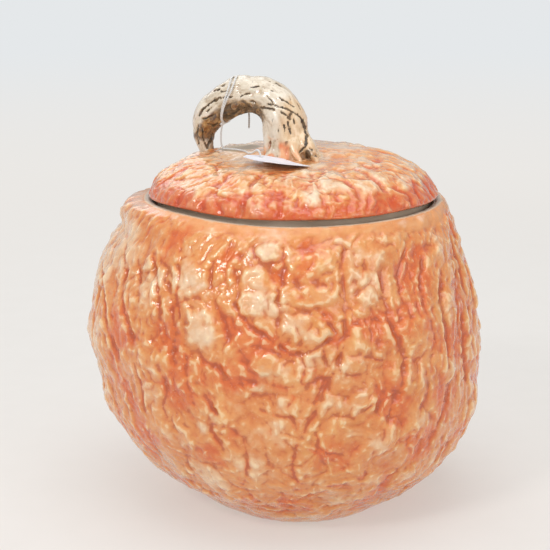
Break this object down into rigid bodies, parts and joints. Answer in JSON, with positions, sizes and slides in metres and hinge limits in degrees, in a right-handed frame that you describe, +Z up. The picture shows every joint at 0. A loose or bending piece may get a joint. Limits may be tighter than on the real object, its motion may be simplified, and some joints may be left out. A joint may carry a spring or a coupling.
{
  "type": "lidded pumpkin jar",
  "caption": "Lidded ceramic jar in the shape of a pumpkin, with an arched stem handle on the lid and a blank strung ticket tied to the handle.",
  "frame": {"origin": "centre of the foot ring, on the plane the jar stands on", "axes": "+Z up along the jar's axis, -Y towards the front, +X to the right; the arched stem leans to -X"},
  "size_m": [0.2528, 0.2526, 0.2696],
  "materials": {
    "orange_glaze_jar": "glossy",
    "orange_glaze_lid": "glossy",
    "bone_glaze_stem": "glossy",
    "cotton_string": "matte",
    "white_card": "satin"
  },
  "bodies": {
    "jar": {"jar_body": "orange_glaze_jar"},
    "lid_with_handle": {"lid": "orange_glaze_lid", "stem_handle": "bone_glaze_stem"},
    "string": {"tag_string": "cotton_string"},
    "ticket": {"tag_card": "white_card"}
  },
  "joints": [
    {"name": "lid_lift", "type": "slide", "parent": "jar", "child": "lid_with_handle", "axis": [0, 0, 1], "range_m": [0, 0.12]},
    {"name": "tag_swing", "type": "hinge", "parent": "lid_with_handle", "child": "string", "pos_m": [-0.04116, 0.01473, 0.25288], "axis": [-0.7935, 0.3371, -0.5067], "range_deg": [0, 60]},
    {"name": "card_flap", "type": "hinge", "parent": "string", "child": "ticket", "pos_m": [-0.0225, -0.0205, 0.2234], "axis": [-0.8236, -0.5662, 0.0327], "range_deg": [0, 50]}
  ]
}
